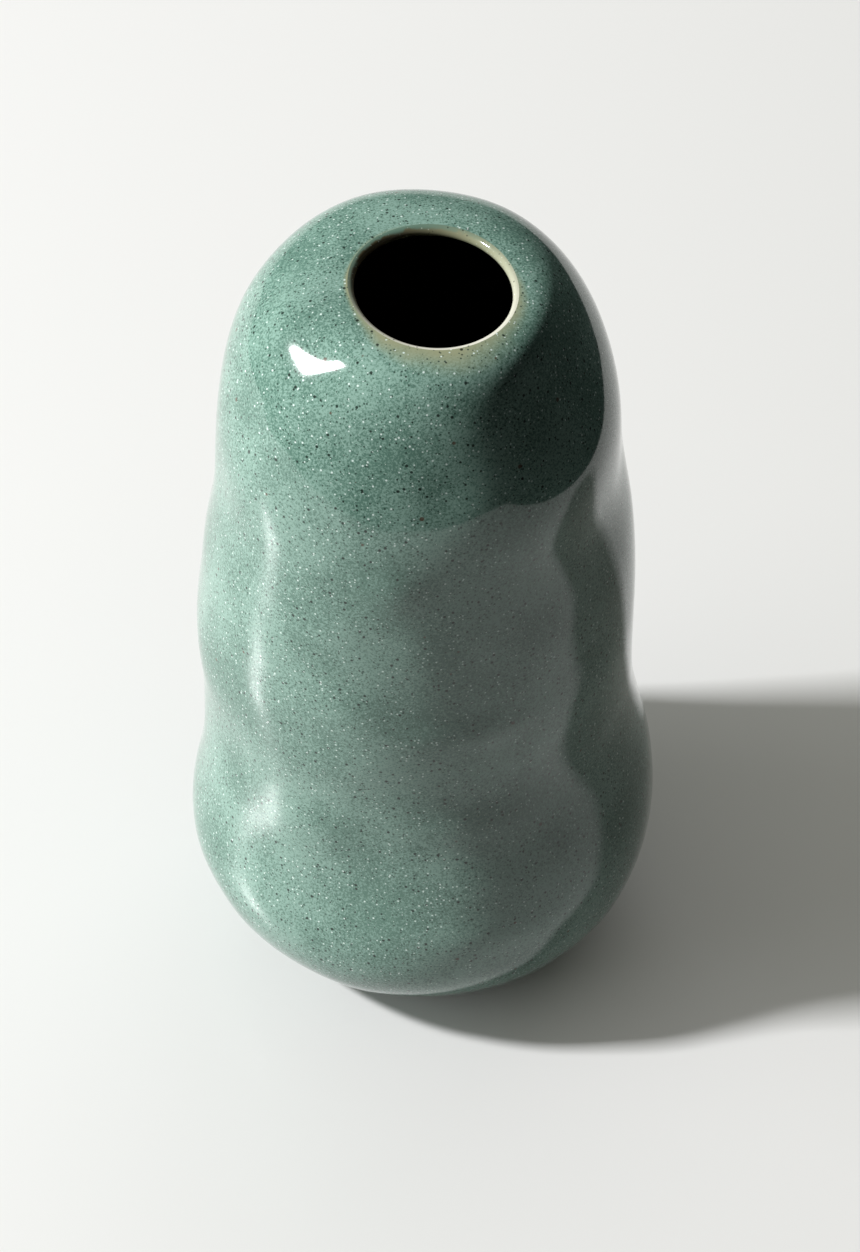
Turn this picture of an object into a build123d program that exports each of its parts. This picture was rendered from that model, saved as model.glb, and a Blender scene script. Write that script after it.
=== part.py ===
from build123d import *
from math import cos, exp, pi, radians, sin
import os

os.makedirs("parts", exist_ok=True)

# Overall sizes in millimetres: the vase stands on z = 0, its mouth faces +Z, its front is -Y
height = 205.0
foot_height = 2.0
foot_ring_width = 6.0

# Stations of the outside, from the glaze line above the foot up to the crest of the lip
glaze_line_radius = 37.5
toe_radius = 50.8
toe_height = 15.5
belly_radius = 55.8
belly_height = 32.0
hip_radius = 54.0
waist_radius = 51.0
chest_radius = 49.2
shoulder_radius = 44.0
shoulder_drop = 30.0
crown_radius = 35.1
crown_drop = 7.8
brow_radius = 27.6
brow_drop = 1.7
crest_radius = 19.5
# How far up from the belly to the shoulder the hip, the waist and the chest sit
hip_climb_share = 0.17
waist_climb_share = 0.46
chest_climb_share = 0.69

# Wall and glaze
wall_thickness = 5.0
lip_thickness = 1.8
floor_thickness = 5.1
floor_taper = 0.7
glaze_thickness = 0.6
glaze_hem_width = 1.5
liner_thickness = 0.5

# Joints between the courses of clay, as shares of the way up the outside
toe_joint_share = 0.16
belly_joint_share = 0.38
waist_joint_share = 0.60
shoulder_joint_share = 0.80
lip_joint_share = 0.95

# Mouth: shift of its centre and the oval of its outline, long axis turned from the right towards the front
mouth_shift_right = 3.5
mouth_shift_front = 4.1
mouth_oval_share = 0.053
mouth_oval_bearing = -68.0

# Swells and dips pressed into the wall: lift of a full swell and how far each one reaches
swell_lift = 2.0
swell_reach_around = 28.0
swell_reach_up = 17.0
swell_fade_height = 21.0
swell_fade_drop = 7.0
# Levels of the swells between the foot plane and the crest
swell_level_shares = (0.132, 0.249, 0.366, 0.483, 0.6, 0.717, 0.834, 0.932)
# One row for each level, a swell every eighth of a turn from the right, every second row half a step on
swell_shares = (
    (0.50, 0.00, 0.25, 0.00, 0.25, 0.25, 1.00, 1.00),
    (0.75, 0.00, 0.25, -1.25, -0.25, -1.25, 1.00, 0.75),
    (-0.25, -0.25, 0.25, -0.25, -0.25, -0.75, -0.75, -1.00),
    (-0.25, 0.00, -0.25, 0.50, 0.75, 0.00, -0.50, 0.25),
    (0.50, 0.25, 0.50, 0.00, 0.00, 0.50, -0.50, -0.25),
    (0.00, 0.25, -0.50, -1.00, -0.50, 0.25, -0.50, -1.00),
    (0.25, 0.50, 0.00, -0.75, 0.00, 0.75, -0.25, 1.25),
    (0.00, 0.75, 1.00, 0.25, 0.25, -0.50, -0.25, -1.25),
)

# Fineness: points around a ring, rings up a course, rings up the lip coil, rings round the lip
bearing_count = 32
course_count = 6
lip_count = 3
nose_count = 6

# Sizes that follow from the ones above
shoulder_height = height - shoulder_drop
wall_rise = shoulder_height - belly_height
hem_radius = glaze_line_radius - glaze_hem_width
floor_radius = hem_radius - floor_taper
floor_height = foot_height + floor_thickness
full_turn = 2 * pi


def smooth(start, end, value):
    """Ease from 0 at start to 1 at end."""
    share = min(max((value - start) / (end - start), 0), 1)
    return share * share * (3 - 2 * share)


# Outside outline in the X-Z plane
outline = Edge.make_spline(
    [
        Vector(glaze_line_radius, 0, foot_height),
        Vector(toe_radius, 0, toe_height),
        Vector(belly_radius, 0, belly_height),
        Vector(hip_radius, 0, belly_height + hip_climb_share * wall_rise),
        Vector(waist_radius, 0, belly_height + waist_climb_share * wall_rise),
        Vector(chest_radius, 0, belly_height + chest_climb_share * wall_rise),
        Vector(shoulder_radius, 0, shoulder_height),
        Vector(crown_radius, 0, height - crown_drop),
        Vector(brow_radius, 0, height - brow_drop),
        Vector(crest_radius, 0, height),
    ]
)


def swell(bearing, level):
    """Lift of the pressed wall at a bearing and a height above the foot plane."""
    lift = 0
    for row, level_share in enumerate(swell_level_shares):
        rise = level - level_share * height
        up = exp(-((rise / swell_reach_up) ** 2))
        for column, share in enumerate(swell_shares[row]):
            step = full_turn / len(swell_shares[row])
            turn = bearing - step * (column + row % 2 / 2)
            turn = (turn + pi) % full_turn - pi
            around = exp(-((turn * belly_radius / swell_reach_around) ** 2))
            lift += share * up * around
    fade_in = smooth(foot_height, swell_fade_height, level)
    fade_out = 1 - smooth(height - swell_fade_drop, height, level)
    return swell_lift * lift * fade_in * fade_out


def mouth_blend(spot):
    """How far the outline is drawn over to the mouth: not below the shoulder, fully at the crest."""
    if spot.Z < shoulder_height:
        return 0
    return smooth(shoulder_radius, crest_radius, spot.X)


def place(radius, level, bearing, blend):
    """Point in space, with the outline drawn over to the mouth where blend is 1."""
    oval = mouth_oval_share * cos(2 * (bearing - radians(mouth_oval_bearing)))
    reach = radius * (1 + blend * oval)
    return Vector(
        reach * cos(bearing) + blend * mouth_shift_right,
        reach * sin(bearing) - blend * mouth_shift_front,
        level,
    )


def ring(points):
    """Closed smooth wire through points around the vase, evenly paced so that all rings match."""
    pace = [index / bearing_count for index in range(bearing_count + 1)]
    return Wire([Edge.make_spline(points, periodic=True, parameters=pace)])


def bearings():
    """Bearings of the points of a ring."""
    return [full_turn * index / bearing_count for index in range(bearing_count)]


def wall_ring(climb, inset):
    """Ring at a climb along the outline, drawn in from the outside by inset."""
    spot = outline @ climb
    along = outline % climb
    blend = mouth_blend(spot)
    points = []
    for bearing in bearings():
        depth = swell(bearing, spot.Z) - inset
        points.append(place(spot.X + depth * along.Z, spot.Z - depth * along.X, bearing, blend))
    return ring(points)


def level_ring(radius, level, blend):
    """Ring in a level plane, drawn over to the mouth where blend is 1."""
    return ring([place(radius, level, bearing, blend) for bearing in bearings()])


def outer_ring(climb, inset):
    """Ring of an outside layer, from the foot plane to the crest."""
    if climb == 0:
        return level_ring(glaze_line_radius - glaze_hem_width * inset / glaze_thickness, foot_height, 0)
    if climb == 1:
        return level_ring(crest_radius, height - inset, 1)
    return wall_ring(climb, inset)


def inner_ring(climb, extra):
    """Ring of an inside layer, from the flat inside floor to below the crest: the wall thins to the lip."""
    thin = smooth(shoulder_height, height, (outline @ climb).Z)
    inset = glaze_thickness + wall_thickness + (lip_thickness - wall_thickness) * thin + extra
    if climb == 0:
        return level_ring(floor_radius, floor_height + extra, 0)
    if climb == 1:
        return level_ring(crest_radius, height - inset, 1)
    return wall_ring(climb, inset)


def nose(inset, extra):
    """Faces that round the lip from the outside layer to the inside layer."""
    half = (glaze_thickness + lip_thickness + extra - inset) / 2
    rings = []
    for index in range(nose_count + 1):
        turn = pi * index / nose_count
        drop = inset + half * (1 - cos(turn))
        rings.append(level_ring(crest_radius - half * sin(turn), height - drop, 1))
    return Shell.make_loft(rings).faces()


def paces(start, end, count):
    """Climbs from start to end, closer together near both ends."""
    turns = [pi * index / count for index in range(count + 1)]
    return [start + (end - start) * (1 - cos(turn)) / 2 for turn in turns]


def skin(make_ring, layer, climbs):
    """Faces of one layer through the rings at some climbs."""
    return Shell.make_loft([make_ring(climb, layer) for climb in climbs]).faces()


def band(first, second):
    """Straight faces between two rings."""
    return Shell.make_loft([first, second], ruled=True).faces()


def joint(climb):
    """Faces straight through the clay at a climb."""
    return band(outer_ring(climb, glaze_thickness), inner_ring(climb, 0))


def body(faces):
    """Solid inside a closed set of faces."""
    return Solid(Shell(faces))


# Faces that the pieces share
inner_joints = (toe_joint_share, belly_joint_share, waist_joint_share, shoulder_joint_share, lip_joint_share)
joints = (0, *inner_joints, 1)
counts = [course_count] * len(inner_joints) + [lip_count]
spans = [paces(*span) for span in zip(joints[:-1], joints[1:], counts)]
whole = [0] + [climb for span in spans for climb in span[1:]]
clay_outside = [skin(outer_ring, glaze_thickness, span) for span in spans]
clay_inside = [skin(inner_ring, 0, span) for span in spans]
clay_joints = [joint(climb) for climb in joints[:-1]]
clay_nose = nose(glaze_thickness, 0)
clay_floor = [Face(inner_ring(0, 0))]
crest = band(outer_ring(1, 0), outer_ring(1, glaze_thickness))

# Foot ring
foot_ring = extrude(
    Circle(hem_radius) - Circle(hem_radius - foot_ring_width),
    amount=foot_height,
)

# Clay
underside = [Face(outer_ring(0, glaze_thickness))]
floor_slab = body(underside + clay_joints[0] + clay_floor)
toe_course = body(clay_joints[0] + clay_outside[0] + clay_inside[0] + clay_joints[1])
belly_course = body(clay_joints[1] + clay_outside[1] + clay_inside[1] + clay_joints[2])
waist_course = body(clay_joints[2] + clay_outside[2] + clay_inside[2] + clay_joints[3])
shoulder_course = body(clay_joints[3] + clay_outside[3] + clay_inside[3] + clay_joints[4])
crown_course = body(clay_joints[4] + clay_outside[4] + clay_inside[4] + clay_joints[5])
lip_coil = body(clay_joints[5] + clay_outside[5] + clay_nose + clay_inside[5])

# Glaze, outside from the foot plane to the crest and inside from the crest to the floor
glaze_outside = skin(outer_ring, 0, whole)
glaze_hem = [Face(outer_ring(0, 0), [outer_ring(0, glaze_thickness)])]
outer_glaze = body(glaze_outside + sum(clay_outside, []) + crest + glaze_hem)
liner_inside = skin(inner_ring, liner_thickness, whole)
liner_floor = [Face(inner_ring(0, liner_thickness))]
liner_faces = liner_inside + nose(0, liner_thickness) + liner_floor
liner_glaze = body(liner_faces + sum(clay_inside, []) + clay_nose + clay_floor + crest)

export_step(foot_ring, "parts/foot_ring.step")
export_step(floor_slab, "parts/floor_slab.step")
export_step(toe_course, "parts/toe_course.step")
export_step(belly_course, "parts/belly_course.step")
export_step(waist_course, "parts/waist_course.step")
export_step(shoulder_course, "parts/shoulder_course.step")
export_step(crown_course, "parts/crown_course.step")
export_step(lip_coil, "parts/lip_coil.step")
export_step(outer_glaze, "parts/outer_glaze.step")
export_step(liner_glaze, "parts/liner_glaze.step")
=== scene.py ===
# %% [markdown]
# # A pressed stoneware vase
# This lesson dresses the CAD frame of a vase. It lays smooth glaze skins over the CAD solids, paints
# speckled glaze and bare clay, and lights the pot like a still life on a white table. All lengths are in
# metres, and the front of the vase faces -Y.

# %% Load the frame
import math

import bpy
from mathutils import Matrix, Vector


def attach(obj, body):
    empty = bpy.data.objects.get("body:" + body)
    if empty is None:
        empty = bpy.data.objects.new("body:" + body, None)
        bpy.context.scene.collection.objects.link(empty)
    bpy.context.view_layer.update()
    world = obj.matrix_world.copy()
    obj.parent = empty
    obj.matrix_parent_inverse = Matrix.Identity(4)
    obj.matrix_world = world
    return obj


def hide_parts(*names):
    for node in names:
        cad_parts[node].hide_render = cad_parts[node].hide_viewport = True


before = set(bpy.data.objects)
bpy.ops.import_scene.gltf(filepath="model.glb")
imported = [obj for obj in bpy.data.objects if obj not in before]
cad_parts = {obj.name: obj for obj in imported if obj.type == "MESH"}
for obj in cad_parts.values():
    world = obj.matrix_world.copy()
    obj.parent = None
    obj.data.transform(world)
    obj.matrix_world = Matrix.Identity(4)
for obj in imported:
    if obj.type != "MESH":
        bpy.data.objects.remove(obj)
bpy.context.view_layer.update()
print("frame nodes:", sorted(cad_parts))

# %% [markdown]
# ## Node helpers
# Geometry and shader trees are both made of nodes and links. A few small helpers keep the rest short:
# they make a node and fill its sockets. A value that is itself a socket becomes a link, and anything else
# becomes the socket's own setting.

# %% Node helpers
def put(tree, socket, value):
    """Links a socket, or sets its own value."""
    if isinstance(value, bpy.types.NodeSocket):
        tree.links.new(value, socket)
    elif value is not None:
        socket.default_value = value


def node(tree, kind, settings=None, **sockets):
    """A node with its properties set and its named input sockets filled in."""
    made = tree.nodes.new(kind)
    for key, value in (settings or {}).items():
        setattr(made, key, value)
    for key, value in sockets.items():
        put(tree, made.inputs[key.replace("_", " ")], value)
    return made


def numbered(tree, kind, settings, values):
    """First output of a node whose input sockets are filled in by their order."""
    made = node(tree, kind, settings)
    for place, value in enumerate(values):
        put(tree, made.inputs[place], value)
    return made.outputs[0]


# %% Sums and steps
def math_node(tree, operation, *values):
    """Output of a Math node."""
    return numbered(tree, "ShaderNodeMath", {"operation": operation}, values)


def product(tree, first, *others):
    """Values multiplied together."""
    for other in others:
        first = math_node(tree, "MULTIPLY", first, other)
    return first


def ease(tree, value, low, high, first=0.0, last=1.0):
    """A smooth step: first below low, last above high."""
    settings = {"interpolation_type": "SMOOTHSTEP"}
    return numbered(tree, "ShaderNodeMapRange", settings, (value, low, high, first, last))


# %% Vectors
def add_vectors(tree, first, second):
    """Sum of two vectors."""
    return numbered(tree, "ShaderNodeVectorMath", {"operation": "ADD"}, (first, second))


def less_vector(tree, first, second):
    """First vector less the second."""
    return numbered(tree, "ShaderNodeVectorMath", {"operation": "SUBTRACT"}, (first, second))


def scaled(tree, vector, scale):
    """A vector times a number."""
    return node(tree, "ShaderNodeVectorMath", {"operation": "SCALE"}, Vector=vector, Scale=scale).outputs[0]


def upright(tree, height):
    """A vector straight up."""
    return node(tree, "ShaderNodeCombineXYZ", Z=height).outputs[0]


# %% [markdown]
# ## Paint helpers
# A fired glaze is never one flat colour, so every material here starts from noise over the object's own
# coordinates. They stay with the pot when it moves, and need no unwrapping. The noise hovers around a
# half, so one helper turns it into a soft sway between two values.

# %% Paint helpers
def new_paint(name, roughness):
    """A new material, with its tree and its shader."""
    material = bpy.data.materials.new(name)
    material.use_nodes = True
    shader = material.node_tree.nodes["Principled BSDF"]
    shader.inputs["Roughness"].default_value = roughness
    return material, material.node_tree, shader


def noise(tree, scale, detail, roughness):
    """Noise over the object, with so many waves to a metre."""
    spot = tree.nodes.new("ShaderNodeTexCoord").outputs["Object"]
    made = node(tree, "ShaderNodeTexNoise", Vector=spot, Scale=scale, Detail=detail, Roughness=roughness)
    return made.outputs[0]


def sway(tree, cloud, first, last):
    """Noise stretched softly between two values."""
    return ease(tree, cloud, 0.3, 0.7, first, last)


def colour_mix(tree, share, first, second):
    """The first colour, turned into the second by a share."""
    made = node(tree, "ShaderNodeMix", {"data_type": "RGBA"}, Factor=share)
    put(tree, made.inputs[6], first)
    put(tree, made.inputs[7], second)
    return made.outputs[2]


def mesh_value(tree, label):
    """A value that the mesh carries at each point."""
    return node(tree, "ShaderNodeAttribute", {"attribute_name": label}).outputs["Fac"]


# %% [markdown]
# ## Specks
# Iron and undissolved minerals leave specks in the glaze. They could be thousands of small meshes, but
# paint is lighter and just as sharp. The paint uses Voronoi cells: each cell has a random colour, so a
# threshold on that colour picks the few cells that carry a speck, and the distance to the cell's centre
# draws the dot. A shader node group keeps the recipe in one place. Its inputs set the cell size, the dot
# size and how many cells are used.

# %% Speck group
def make_specks():
    tree = bpy.data.node_groups.new("Specks", "ShaderNodeTree")
    for name, value in (("Cell size", 0.002), ("Dot share", 0.2), ("Used share", 0.3)):
        socket = tree.interface.new_socket(name=name, in_out="INPUT", socket_type="NodeSocketFloat")
        socket.default_value = value
    tree.interface.new_socket(name="Shift", in_out="INPUT", socket_type="NodeSocketVector")
    tree.interface.new_socket(name="Mask", in_out="OUTPUT", socket_type="NodeSocketFloat")
    given = tree.nodes.new("NodeGroupInput").outputs
    spot = tree.nodes.new("ShaderNodeTexCoord").outputs["Object"]
    moved = add_vectors(tree, spot, given["Shift"])
    scale = math_node(tree, "DIVIDE", 1.0, given["Cell size"])
    cells = node(tree, "ShaderNodeTexVoronoi", {"feature": "F1"}, Vector=moved, Scale=scale)
    chance = node(tree, "ShaderNodeSeparateColor", Color=cells.outputs["Color"]).outputs
    used = math_node(tree, "LESS_THAN", chance[0], given["Used share"])
    size = product(tree, given["Dot share"], ease(tree, chance[1], 0.0, 1.0, 0.45, 1.15))
    core = product(tree, size, 0.6)
    dot = ease(tree, cells.outputs["Distance"], core, size, 1.0, 0.0)
    put(tree, tree.nodes.new("NodeGroupOutput").inputs["Mask"], product(tree, dot, used))
    return tree


specks = make_specks()
print("speck group inputs:", [item.name for item in specks.interface.items_tree])


# %% Sprinkle
def sprinkle(tree, colour, cover, speck_colour, cell, dot, used, shift=(0.0, 0.0, 0.0)):
    """A colour with specks over it: how strongly they cover, and the group's four inputs."""
    made = node(tree, "ShaderNodeGroup", {"node_tree": specks})
    for name, value in (("Cell size", cell), ("Dot share", dot), ("Used share", used), ("Shift", shift)):
        made.inputs[name].default_value = value
    return colour_mix(tree, product(tree, made.outputs["Mask"], cover), colour, speck_colour)


# %% [markdown]
# ## Green glaze
# The body colour is a mottled green: soft clouds as wide as a thumb, and a grain as fine as the specks.
# Where the coat runs thin, at the lip, the iron in the clay turns it to straw, so the skin carries a
# value called thin that is 1 at the crest and fades out on the dome. Fine pepper, dark specks, pale
# specks and a few rust spots lie over that. The gloss comes from low roughness on the shader itself.

# %% Green glaze
deep_green = (0.109, 0.213, 0.166, 1.0)
light_green = (0.268, 0.427, 0.356, 1.0)
straw = (0.34, 0.36, 0.22, 1.0)
pepper_green = (0.03, 0.06, 0.045, 1.0)
iron_black = (0.01, 0.016, 0.012, 1.0)
mineral_white = (0.80, 0.94, 0.88, 1.0)
rust_brown = (0.10, 0.045, 0.025, 1.0)
glass_ior = 1.52
cloud_waves = 45.0
grain_waves = 1900.0
# Cover, colour, cell size, dot share, used share and shift of each layer, from the lowest up
green_specks = (
    (0.85, pepper_green, 0.0009, 0.30, 0.7, (0.9, 0.6, 0.8)),
    (0.9, iron_black, 0.0015, 0.27, 0.5, (0.0, 0.0, 0.0)),
    (0.85, mineral_white, 0.0010, 0.27, 0.45, (0.3, 0.1, 0.2)),
    (0.8, rust_brown, 0.007, 0.085, 0.5, (0.7, 0.4, 0.5)),
)


def make_green_glaze():
    material, tree, shader = new_paint("green_glaze", 0.07)
    shader.inputs["IOR"].default_value = glass_ior
    cloud = noise(tree, cloud_waves, 3.0, 0.55)
    grain = noise(tree, grain_waves, 2.0, 0.7)
    shade = math_node(tree, "ADD", sway(tree, cloud, 0.1, 0.9), sway(tree, grain, -0.7, 0.7))
    colour = colour_mix(tree, shade, deep_green, light_green)
    thin = mesh_value(tree, "thin")
    fray = sway(tree, cloud, -0.25, 0.25)
    ragged = math_node(tree, "MULTIPLY_ADD", fray, ease(tree, thin, 0.0, 0.4), thin)
    colour = colour_mix(tree, ease(tree, ragged, 0.0, 1.1), colour, straw)
    for layer in green_specks:
        colour = sprinkle(tree, colour, *layer)
    put(tree, shader.inputs["Base Color"], colour)
    return material


green_glaze = make_green_glaze()
print("green glaze nodes:", len(green_glaze.node_tree.nodes))

# %% [markdown]
# ## Liner glaze
# Inside the mouth the coat changes within a few millimetres. At the back the green still comes over the
# crest. The sharp inner edge is cream. On the back left, which faces away from the lamp, it is a real brown
# darkened with painted shade, and at the front a pale line is a painted highlight. Below the edge the wall
# turns olive and then nearly black, which is painted shade deepening inside the mouth. Four values on the
# mesh say where a point lies: how far it is from the crest, and how much its side takes the shaded brown,
# the green and the front highlight.

# %% Liner glaze
cream = (0.36, 0.38, 0.24, 1.0)
# The brown edge is partly painted shade, the pale cream line is a painted highlight, and the olive and near
# black are painted shade.
brown_and_painted_shade = (0.075, 0.058, 0.028, 1.0)
painted_highlight_cream = (0.85, 0.84, 0.72, 1.0)
olive = (0.11, 0.135, 0.085, 1.0)
painted_shade_black = (0.012, 0.013, 0.009, 1.0)
crest_green = (0.15, 0.25, 0.19, 1.0)
liner_speck_dark = (0.012, 0.02, 0.015, 1.0)
liner_speck_pale = (0.70, 0.80, 0.68, 1.0)
# From where to where along the wall, measured from the crest, each colour comes in or goes out
green_ends = (0.0004, 0.0013)
olive_begins = (0.0020, 0.0038)
black_begins = (0.0042, 0.011)
pale_specks_end = (0.002, 0.005)


def make_liner_glaze():
    material, tree, shader = new_paint("liner_glaze", 0.1)
    shader.inputs["IOR"].default_value = glass_ior
    wander = sway(tree, noise(tree, 260.0, 3.0, 0.6), -0.0005, 0.0005)
    inward = math_node(tree, "ADD", mesh_value(tree, "inward"), wander)
    # The edge is cream, a brown with painted shade on the back left, and a painted highlight at the front.
    edge = colour_mix(tree, mesh_value(tree, "brown_shaded_side"), cream, brown_and_painted_shade)
    edge = colour_mix(tree, mesh_value(tree, "highlight_side"), edge, painted_highlight_cream)
    # Further in, painted shade turns the wall olive and then nearly black.
    colour = colour_mix(tree, ease(tree, inward, *olive_begins), edge, olive)
    colour = colour_mix(tree, ease(tree, inward, *black_begins), colour, painted_shade_black)
    over = product(tree, ease(tree, inward, *green_ends, 1.0, 0.0), mesh_value(tree, "green_over"))
    colour = colour_mix(tree, over, colour, crest_green)
    colour = sprinkle(tree, colour, 0.7, liner_speck_dark, 0.0011, 0.22, 0.5)
    shallow = ease(tree, inward, *pale_specks_end, 0.5, 0.0)
    colour = sprinkle(tree, colour, shallow, liner_speck_pale, 0.0008, 0.22, 0.5, (0.3, 0.1, 0.2))
    put(tree, shader.inputs["Base Color"], colour)
    return material


liner_glaze = make_liner_glaze()
print("liner glaze nodes:", len(liner_glaze.node_tree.nodes))

# %% [markdown]
# ## Bare clay
# The clay shows only under the pot, at the foot ring and the floor inside it. It is a warm buff with iron
# specks and a matt surface. The CAD solids are flat and plain there, so they only need this paint.

# %% Bare clay
clay_dark = (0.42, 0.30, 0.19, 1.0)
clay_light = (0.56, 0.44, 0.31, 1.0)
clay_speck = (0.10, 0.055, 0.03, 1.0)
wall_pieces = ("toe_course", "belly_course", "waist_course", "shoulder_course", "crown_course", "lip_coil")
clay_pieces = ("foot_ring", "floor_slab", *wall_pieces)


def make_bare_clay():
    material, tree, shader = new_paint("bare_clay", 0.85)
    colour = colour_mix(tree, sway(tree, noise(tree, 60.0, 5.0, 0.6), 0.0, 1.0), clay_dark, clay_light)
    colour = sprinkle(tree, colour, 0.8, clay_speck, 0.0026, 0.14, 0.4, (0.1, 0.2, 0.3))
    put(tree, shader.inputs["Base Color"], colour)
    grit = noise(tree, 900.0, 3.0, 0.5)
    bump = node(tree, "ShaderNodeBump", Strength=0.25, Distance=0.0004, Height=grit)
    put(tree, shader.inputs["Normal"], bump.outputs[0])
    return material


bare_clay = make_bare_clay()
for name in clay_pieces:
    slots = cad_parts[name].data.materials
    slots.clear()
    slots.append(bare_clay)
print("clay on", len(clay_pieces), "pieces")

# %% [markdown]
# ## The mouth
# The mouth is a slightly oval ring that sits a little right of the axis and in front of it. Both skins
# and the paint around the lip are measured from it, so its sizes are named once.

# %% Mouth
mouth_middle = Vector((0.0035, -0.0041, 0.205))
mouth_radius = 0.0195
mouth_oval = 0.053
mouth_turn = math.radians(-68)
print("crest of the lip:", mouth_middle, "radius", mouth_radius)

# %% [markdown]
# ## Skins from rays
# The CAD solids come as triangles, and a glossy glaze would show each one. A Remesh modifier would make
# new facets of its own, so a Geometry Nodes tree makes a fine, even grid instead: every grid point shoots
# a ray at the CAD glaze and takes the place where it lands. The tree's named inputs set how fine the grid
# is, how much it is smoothed and how deep the ripples are.

# %% Inputs of a skin
skin_inputs = (
    ("Around", "NodeSocketInt", 360),
    ("Up", "NodeSocketInt", 260),
    ("Blur", "NodeSocketInt", 40),
    ("Ripple depth", "NodeSocketFloat", 0.0002),
    ("Ripple size", "NodeSocketFloat", 0.02),
    ("Wall ripple", "NodeSocketFloat", 2.2),
    ("Seed", "NodeSocketFloat", 3.0),
    ("Mouth oval", "NodeSocketFloat", mouth_oval),
    ("Mouth turn", "NodeSocketFloat", mouth_turn),
    ("Mouth shift", "NodeSocketVector", (mouth_middle.x, mouth_middle.y, 0.0)),
)


def new_skin_tree(name):
    """An empty skin tree, and the sockets of its inputs."""
    tree = bpy.data.node_groups.new(name, "GeometryNodeTree")
    for label, kind, value in skin_inputs:
        socket = tree.interface.new_socket(name=label, in_out="INPUT", socket_type=kind)
        socket.default_value = value
    tree.interface.new_socket(name="Skin", in_out="OUTPUT", socket_type="NodeSocketGeometry")
    return tree, tree.nodes.new("NodeGroupInput").outputs


# %% [markdown]
# The grid starts flat. Two values are stored on it before it is bent, because they are needed later:
# round runs from 0 to 1 once round the pot, and climb runs from 0 at the first row to 1 at the last.

# %% Grid
def stored_value(tree, label):
    """A value that the grid carries at each point."""
    return node(tree, "GeometryNodeInputNamedAttribute", {"data_type": "FLOAT"}, Name=label).outputs[0]


def flat_grid(tree, given):
    """The flat grid, with its two values stored on it."""
    columns = math_node(tree, "ADD", given["Around"], 1.0)
    sizes = {"Size_X": 1.0, "Size_Y": 1.0, "Vertices_X": columns, "Vertices_Y": given["Up"]}
    sheet = node(tree, "GeometryNodeMeshGrid", **sizes).outputs[0]
    flat = node(tree, "ShaderNodeSeparateXYZ", Vector=tree.nodes.new("GeometryNodeInputPosition").outputs[0])
    for label, axis in (("round", 0), ("climb", 1)):
        value = math_node(tree, "ADD", flat.outputs[axis], 0.5)
        settings = {"data_type": "FLOAT", "domain": "POINT"}
        store = node(tree, "GeometryNodeStoreNamedAttribute", settings, Geometry=sheet, Name=label)
        put(tree, store.inputs["Value"], value)
        sheet = store.outputs[0]
    return sheet


# %% [markdown]
# Each row of the grid needs to know where its rays aim and from which side they come. A short table gives
# that for a few rows, and Float Curve nodes fill in the rows between. A curve only holds values from 0 to
# 1, so each column is squeezed into that range and stretched out again after the curve.

# %% Rays
radius_range = (0.0, 0.1)
height_range = (-0.05, 0.25)
side_range = (-90.0, 360.0)
reach_range = (0.0, 0.1)
drawn_from, drawn_to = 0.165, 0.183


def aim_curve(tree, climb, rows, column, limits):
    """One column of the table, as a curve over the climb."""
    low, high = limits
    made = node(tree, "ShaderNodeFloatCurve", Value=climb)
    points = made.mapping.curves[0].points
    while len(points) < len(rows):
        points.new(1.0, 1.0)
    for point, row in zip(points, rows):
        point.location = (row[0], (row[column] - low) / (high - low))
        point.handle_type = "VECTOR"
    made.mapping.update()
    return math_node(tree, "MULTIPLY_ADD", made.outputs[0], high - low, low)


def rays(tree, given, aims):
    """Start and direction of the ray at each grid point."""
    climb = stored_value(tree, "climb")
    bearing = product(tree, stored_value(tree, "round"), 2 * math.pi)
    radius = aim_curve(tree, climb, aims, 1, radius_range)
    height = aim_curve(tree, climb, aims, 2, height_range)
    side = math_node(tree, "RADIANS", aim_curve(tree, climb, aims, 3, side_range))
    reach = aim_curve(tree, climb, aims, 4, reach_range)

    drawn = ease(tree, height, drawn_from, drawn_to)
    turned = math_node(tree, "SUBTRACT", bearing, given["Mouth turn"])
    wave = math_node(tree, "COSINE", product(tree, turned, 2.0))
    oval = product(tree, given["Mouth oval"], drawn, wave)
    radius = product(tree, radius, math_node(tree, "ADD", oval, 1.0))

    cosine, sine = (math_node(tree, turn, bearing) for turn in ("COSINE", "SINE"))
    out = node(tree, "ShaderNodeCombineXYZ", X=cosine, Y=sine).outputs[0]
    aim = add_vectors(tree, scaled(tree, out, radius), upright(tree, height))
    aim = add_vectors(tree, aim, scaled(tree, given["Mouth shift"], drawn))
    level, rise = (math_node(tree, turn, side) for turn in ("COSINE", "SINE"))
    away = add_vectors(tree, scaled(tree, out, level), upright(tree, rise))
    return add_vectors(tree, aim, scaled(tree, away, reach)), scaled(tree, away, -1.0)


# %% Landing
ray_length = 0.2
seam_gap = 0.00001


def landed(tree, sheet, start, direction, targets):
    """The grid moved to where its rays land on the targets, with its seam closed."""
    joined = tree.nodes.new("GeometryNodeJoinGeometry")
    for target in targets:
        info = node(tree, "GeometryNodeObjectInfo", {"transform_space": "ORIGINAL"}, Object=target)
        tree.links.new(info.outputs["Geometry"], joined.inputs[0])
    ray = node(tree, "GeometryNodeRaycast", Source_Position=start, Ray_Direction=direction)
    put(tree, ray.inputs["Ray Length"], ray_length)
    put(tree, ray.inputs["Target Geometry"], joined.outputs[0])
    moved = node(tree, "GeometryNodeSetPosition", Geometry=sheet, Position=ray.outputs["Hit Position"])
    return node(tree, "GeometryNodeMergeByDistance", Geometry=moved.outputs[0], Distance=seam_gap).outputs[0]


# %% [markdown]
# ## Smoothing without shrinking
# Blurring the places washes the triangles out. A blur also shrinks a round form, and the clay would show
# through, so the tree takes twice the first blur less a second one, which keeps the form. The first and
# last rows stay where they landed, so that the coats meet at the crest.

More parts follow.
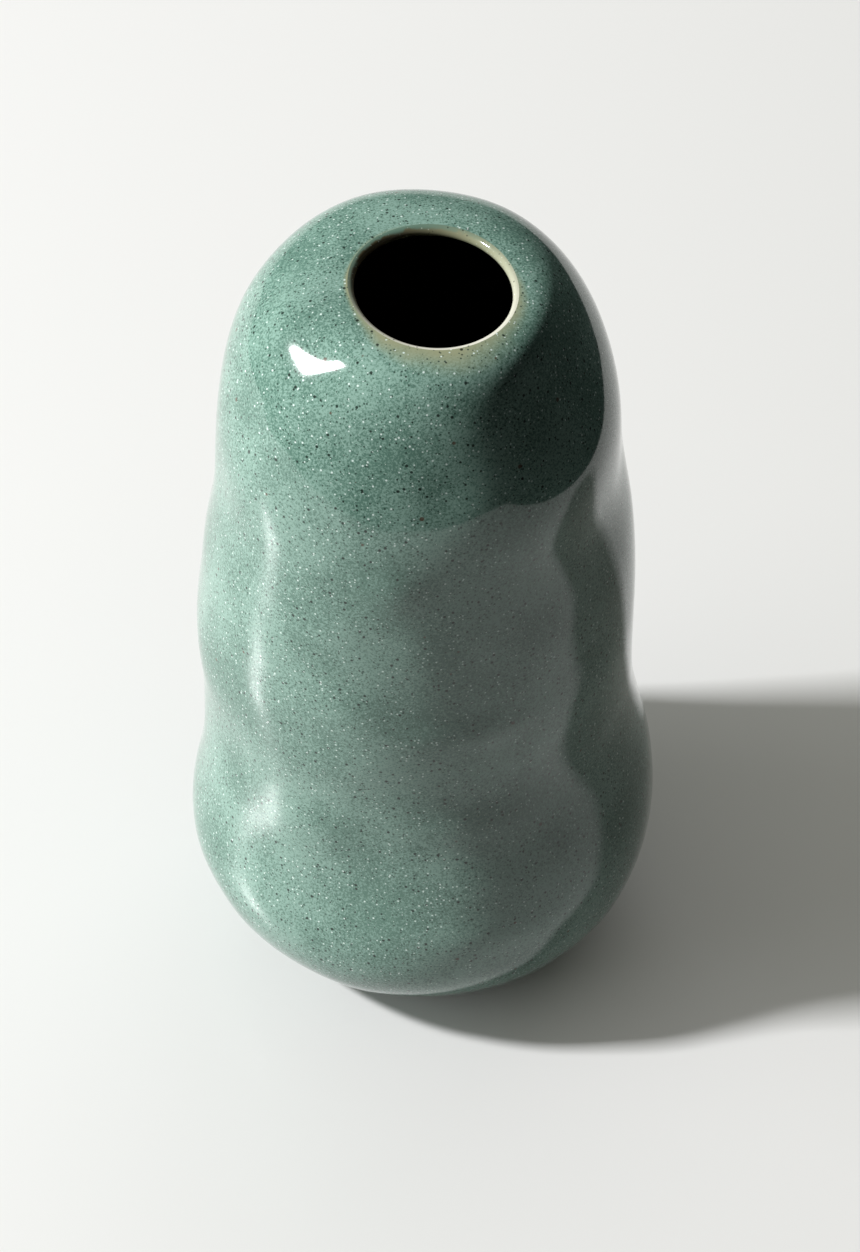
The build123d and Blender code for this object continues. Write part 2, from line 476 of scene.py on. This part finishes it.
# %% Smoothing
def smoothed(tree, given, sheet):
    """The sheet with its facets blurred away."""
    climb = stored_value(tree, "climb")
    inner = product(tree, ease(tree, climb, 0.0, 0.01), ease(tree, climb, 0.99, 1.0, 1.0, 0.0))

    def blurred(value):
        made = node(tree, "GeometryNodeBlurAttribute", {"data_type": "FLOAT_VECTOR"})
        put(tree, made.inputs["Value"], value)
        put(tree, made.inputs["Iterations"], given["Blur"])
        put(tree, made.inputs["Weight"], inner)
        return made.outputs[0]

    once = blurred(tree.nodes.new("GeometryNodeInputPosition").outputs[0])
    place = less_vector(tree, scaled(tree, once, 2.0), blurred(once))
    return node(tree, "GeometryNodeSetPosition", Geometry=sheet, Position=place).outputs[0]


# %% [markdown]
# ## Ripples and finger marks
# Hands leave two kinds of trace in soft clay. All over the wall there are faint ripples, which are noise
# here. And there are single marks, where a thumb pressed a hollow or pushed up a ridge: each is a soft
# bump along the surface with its own place, reach and lift. The marks are measured around the mouth from
# the finished place of each point, because the two edges of the grid are one line by now and share one
# stored value.

# %% Ripples
def ripple_lift(tree, given):
    """Lift of the ripples, stronger on the wall than on the dome."""
    climb = stored_value(tree, "climb")
    here = tree.nodes.new("GeometryNodeInputPosition").outputs[0]
    scale = math_node(tree, "DIVIDE", 1.0, given["Ripple size"])
    settings = {"noise_dimensions": "4D"}
    waves = node(tree, "ShaderNodeTexNoise", settings, Vector=here, W=given["Seed"], Scale=scale, Detail=0.0)
    fade = product(tree, ease(tree, climb, 0.0, 0.06), ease(tree, climb, 0.9, 1.0, 1.0, 0.0))
    strength = ease(tree, climb, 0.66, 0.74, given["Wall ripple"], 1.0)
    depth = product(tree, given["Ripple depth"], 2.0, fade, strength)
    return product(tree, math_node(tree, "SUBTRACT", waves.outputs[0], 0.5), depth)


# %% Finger marks
mark_radius = 0.05


def mark_lift(tree, given, marks, lift):
    """A lift with finger marks added. They fade out before the crest of the lip."""
    climb = stored_value(tree, "climb")
    here = tree.nodes.new("GeometryNodeInputPosition").outputs[0]
    place = node(tree, "ShaderNodeSeparateXYZ", Vector=less_vector(tree, here, given["Mouth shift"])).outputs
    heading = math_node(tree, "ARCTAN2", place[1], place[0])
    fade = ease(tree, climb, 0.92, 0.985, 1.0, 0.0)
    for bearing, height, reach_around, reach_up, mark in marks:
        turn = math_node(tree, "SUBTRACT", heading, math.radians(bearing))
        turn = math_node(tree, "WRAP", turn, math.pi, -math.pi)
        across = math_node(tree, "POWER", product(tree, turn, mark_radius / reach_around), 2.0)
        rise = math_node(tree, "SUBTRACT", place[2], height)
        along = math_node(tree, "POWER", math_node(tree, "DIVIDE", rise, reach_up), 2.0)
        near = math_node(tree, "EXPONENT", product(tree, math_node(tree, "ADD", across, along), -1.0))
        lift = math_node(tree, "MULTIPLY_ADD", near, product(tree, fade, mark), lift)
    return lift


# %% Whole skin tree
def make_skin_tree(name, aims, marks, targets, paint):
    """aims: rows of climb, aim radius, aim height, side in degrees and start distance.

    marks: rows of bearing in degrees, height, reach around, reach up and lift.
    """
    tree, given = new_skin_tree(name)
    start, direction = rays(tree, given, aims)
    sheet = smoothed(tree, given, landed(tree, flat_grid(tree, given), start, direction, targets))
    lift = mark_lift(tree, given, marks, ripple_lift(tree, given))
    push = scaled(tree, tree.nodes.new("GeometryNodeInputNormal").outputs[0], lift)
    pressed = node(tree, "GeometryNodeSetPosition", Geometry=sheet, Offset=push)
    soft = node(tree, "GeometryNodeSetShadeSmooth", Geometry=pressed.outputs[0])
    real = node(tree, "GeometryNodeRealizeInstances", Geometry=soft.outputs[0])
    painted = node(tree, "GeometryNodeSetMaterial", Geometry=real.outputs[0], Material=paint)
    put(tree, tree.nodes.new("NodeGroupOutput").inputs[0], painted.outputs[0])
    return tree


# %% Growing a skin
def grow(name, tree, values):
    """Runs a skin tree on an empty mesh and keeps the result as a plain mesh object."""
    mould = bpy.data.objects.new(name + "_mould", bpy.data.meshes.new(name + "_mould"))
    bpy.context.scene.collection.objects.link(mould)
    modifier = mould.modifiers.new("skin", "NODES")
    modifier.node_group = tree
    for item in tree.interface.items_tree:
        if item.in_out == "INPUT" and item.name in values:
            modifier[item.identifier] = values[item.name]
    bpy.context.view_layer.update()
    ready = mould.evaluated_get(bpy.context.evaluated_depsgraph_get())
    mesh = bpy.data.meshes.new_from_object(ready)
    bpy.data.objects.remove(mould)
    mesh.name = name
    piece = bpy.data.objects.new(name, mesh)
    bpy.context.scene.collection.objects.link(piece)
    print(name, "vertices", len(mesh.vertices), "faces", len(mesh.polygons))
    return piece


# %% [markdown]
# ## The outside coat
# The outside skin climbs from the edge above the foot to the crest of the lip: its rays come from below
# at the foot, straight in along the wall, and turn until they come from above at the crest. The first
# three finger marks are a hollow in the dome's front left, a ridge below it and one beside it, and they
# bend the lamp's glint there. The others are shallow hollows and ridges on the front of the wall.

# %% Outside coat
coats = [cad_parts["outer_glaze"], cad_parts["liner_glaze"]]
outside_aims = (
    (0.00, mouth_radius, 0.0136, -32.0, 0.06),
    (0.12, mouth_radius, 0.0240, 0.0, 0.06),
    (0.78, mouth_radius, 0.1810, 0.0, 0.06),
    (1.00, mouth_radius, 0.1830, 90.0, 0.06),
)
finger_marks = (
    (215.0, 0.201, 0.012, 0.006, -0.00045),
    (225.0, 0.193, 0.020, 0.004, 0.00060),
    (188.0, 0.198, 0.012, 0.010, 0.00120),
    (244.0, 0.148, 0.008, 0.007, -0.00025),
    (254.0, 0.136, 0.008, 0.006, -0.00025),
    (259.0, 0.152, 0.008, 0.006, 0.00080),
    (274.0, 0.178, 0.008, 0.006, -0.00025),
    (282.0, 0.106, 0.018, 0.005, 0.00070),
    (282.0, 0.075, 0.018, 0.006, 0.00080),
    (282.0, 0.042, 0.018, 0.006, 0.00080),
    (245.0, 0.112, 0.012, 0.008, 0.00060),
    (257.0, 0.090, 0.012, 0.007, -0.00025),
    (234.0, 0.070, 0.012, 0.008, 0.00060),
)
outside_tree = make_skin_tree("Outside coat", outside_aims, finger_marks, coats, green_glaze)
outside = grow("glaze_skin", outside_tree, {"Around": 360, "Up": 260, "Blur": 60})

# %% [markdown]
# ## The inside coat
# The liner starts at the same crest, rolls over the lip, and goes down the inside to the floor. Its rays
# aim at the middle of the lip's roll from close by, turn around it, and then come from inside the pot.
# It has no ripples, because only the lip is seen.

# %% Inside coat
roll_middle = 0.20355
inside_aims = (
    (0.00, mouth_radius, roll_middle, 90.0, 0.005),
    (0.20, mouth_radius, roll_middle, 270.0, 0.005),
    (0.35, 0.0500, 0.2250, 225.0, 0.06),
    (0.45, 0.0600, 0.1850, 180.0, 0.055),
    (0.90, 0.0600, 0.0250, 180.0, 0.055),
    (1.00, 0.0100, -0.0100, 90.0, 0.06),
)
inside_tree = make_skin_tree("Inside coat", inside_aims, (), coats, liner_glaze)
inside = grow("liner_skin", inside_tree, {"Around": 240, "Up": 160, "Blur": 6, "Ripple depth": 0.0})

# %% [markdown]
# ## Where the coat is thin
# The paint reads values that are made here from the mesh itself. Each one starts from the distance to the
# crest of the lip and from the bearing around it. So the straw colour hugs the mouth, spreads wide at the
# front, and leaves the back green.

# %% Distance and bearing
def rim_place(point):
    """Distance from the crest of the lip, and the bearing around the mouth."""
    side = (point - mouth_middle).to_2d()
    bearing = math.atan2(side.y, side.x)
    rim = mouth_radius * (1 + mouth_oval * math.cos(2 * (bearing - mouth_turn)))
    return math.hypot(side.length - rim, point.z - mouth_middle.z), bearing


def facing(bearing, degrees, power):
    """1 on the side at the given degrees, 0 on the other side."""
    return (0.5 + 0.5 * math.cos(bearing - math.radians(degrees))) ** power


def keep(piece, label, values):
    """Stores a value for each point of a piece."""
    piece.data.attributes.new(label, "FLOAT", "POINT").data.foreach_set("value", values)


# %% Straw on the outside
narrow_fade = 0.0009
wide_fade = 0.0085


def straw_share(gap, bearing):
    """How thin the coat is: wide at the front, narrow at the sides and nothing at the back."""
    fade = narrow_fade + (wide_fade - narrow_fade) * facing(bearing, -75, 4)
    shown = min(1.0, 1.8 * facing(bearing, -110, 1))
    return shown * max(0.0, 1.0 - gap / fade)


keep(outside, "thin", [straw_share(*rim_place(vertex.co)) for vertex in outside.data.vertices])
print("values outside:", [item.name for item in outside.data.attributes])

# %% Edge of the inside
inside_rims = [rim_place(vertex.co) for vertex in inside.data.vertices]
keep(inside, "inward", [gap for gap, bearing in inside_rims])
# These sides carry the painted shade of the back left, the green over the crest and the painted highlight of
# the front.
for label, degrees, power in (("brown_shaded_side", 150, 2), ("green_over", 120, 3), ("highlight_side", -70, 2)):
    keep(inside, label, [facing(bearing, degrees, power) for gap, bearing in inside_rims])
print("values inside:", [item.name for item in inside.data.attributes])

# %% [markdown]
# ## Taking the place of the CAD coats
# Each skin rides on the pot's one body and replaces the CAD coat that it was made from, so that only one
# of the two is seen.

# %% Ride and replace
for piece, old, slot in ((outside, "outer_glaze", "green_glaze"), (inside, "liner_glaze", "liner_glaze")):
    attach(piece, "root")
    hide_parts(old)
    print(piece.name, "replaces", old)

# %% [markdown]
# ## Table
# The pot stands on a pale satin sheet with an edge in front of the pot and one to its right. Its slight
# sheen matters: the glaze mirrors the table, and the lamp's glint in the sheen draws the soft streaks on
# the left of the pot.

# %% Table
table_left, table_right, table_front, table_back = -0.9, 0.33, -0.46, 2.4
table_corners = [
    (table_left, table_front, 0.0),
    (table_right, table_front, 0.0),
    (table_right, table_back, 0.0),
    (table_left, table_back, 0.0),
]
table_mesh = bpy.data.meshes.new("table")
table_mesh.from_pydata(table_corners, [], [(0, 1, 2, 3)])
table = bpy.data.objects.new("table", table_mesh)
bpy.context.scene.collection.objects.link(table)
print("table from", table_corners[0], "to", table_corners[2])

# %% [markdown]
# The sheet looks pale to the camera and in the glaze, but it is greyer for the light that it throws back
# at the pot. That keeps the shadow side of the pot as deep as in a dark room. A faint glow, weaker where
# the pot shelters the table, stands for the room's light in the shadow.

# %% Paper
paper_pale = (0.74, 0.74, 0.74, 1.0)
paper_grey = (0.40, 0.40, 0.395, 1.0)
paper_glow = (0.135, 0.135, 0.112, 1.0)
shelter_reach = 0.12


def make_paper():
    material, tree, shader = new_paint("paper", 0.25)
    shader.inputs["IOR"].default_value = 1.45
    shader.inputs["Emission Color"].default_value = paper_glow
    paths = tree.nodes.new("ShaderNodeLightPath").outputs
    seen = math_node(tree, "MAXIMUM", paths["Is Camera Ray"], paths["Is Glossy Ray"])
    seen = math_node(tree, "MAXIMUM", seen, paths["Is Transmission Ray"])
    put(tree, shader.inputs["Base Color"], colour_mix(tree, seen, paper_grey, paper_pale))
    nearby = node(tree, "ShaderNodeAmbientOcclusion", {"samples": 12}, Distance=shelter_reach)
    open_share = math_node(tree, "POWER", nearby.outputs["AO"], 1.5)
    put(tree, shader.inputs["Emission Strength"], product(tree, seen, open_share))
    return material


table_mesh.materials.append(make_paper())
print("paper looks", paper_pale[:3], "and throws back", paper_grey[:3])

# %% [markdown]
# ## Light
# One small lamp from the left gives the long, crisp shadow. Two dim, wide panels stand for the pale room
# to the left and behind. They are not mirrored, because their square outlines would show in the glaze.
# The room towards the camera stays dark, so the dome mirrors darkness.

# %% Light
def panel(name, place, target, width, depth, power, mirrored=False):
    lamp = bpy.data.lights.new(name, "AREA")
    lamp.shape = "RECTANGLE"
    lamp.size = width
    lamp.size_y = depth
    lamp.energy = power
    holder = bpy.data.objects.new(name, lamp)
    holder.location = place
    holder.rotation_euler = (Vector(target) - Vector(place)).to_track_quat("-Z", "Y").to_euler()
    holder.visible_glossy = mirrored
    bpy.context.scene.collection.objects.link(holder)
    print(name, "at", [round(part, 3) for part in holder.location])


key_rise = math.radians(40)
key_swing = math.radians(4.5)
key_distance = 2.8
key_size = 0.26
pot_middle = Vector((0.0, 0.0, 0.095))
key_level = -math.cos(key_rise)
key_way = Vector((key_level * math.cos(key_swing), key_level * math.sin(key_swing), math.sin(key_rise)))
panel("key", pot_middle + key_distance * key_way, pot_middle, key_size, key_size, 100.0, mirrored=True)
panel("left_fill", (-1.2, -0.15, 0.25), (0.0, 0.0, 0.1), width=1.0, depth=0.4, power=8.0)
panel("back_fill", (0.3, 1.4, 0.8), (0.0, 0.0, 0.05), width=1.8, depth=0.8, power=6.0)

# %% Room
room_grey = (0.02, 0.02, 0.02, 1.0)
room = bpy.data.worlds.new("room")
bpy.context.scene.world = room
room.use_nodes = True
room.node_tree.nodes["Background"].inputs["Color"].default_value = room_grey
print("room:", room_grey[:3])

# %% [markdown]
# ## Camera
# The photograph looks down at the pot from the front with a long lens, so the camera stands far off, well
# above the table. Its focal length is written in pixels of the photograph's height and turned into
# millimetres of the sensor.

# %% Camera
photo_height = 1252
focal_pixels = 4500
sensor_width = 36.0
camera_tilt = math.radians(47)
camera_distance = 1.071
look_at = Vector((0.0028, 0.0, 0.0915))
forward = Vector((0.0, math.cos(camera_tilt), -math.sin(camera_tilt)))
lens = bpy.data.cameras.new("camera")
lens.sensor_width = sensor_width
lens.lens = sensor_width * focal_pixels / photo_height
camera = bpy.data.objects.new("camera", lens)
camera.location = look_at - camera_distance * forward
camera.rotation_euler = forward.to_track_quat("-Z", "Y").to_euler()
bpy.context.scene.collection.objects.link(camera)
bpy.context.scene.camera = camera
bpy.context.scene.view_settings.view_transform = "Standard"
print("camera at", [round(part, 3) for part in camera.location], "lens", round(lens.lens, 1))
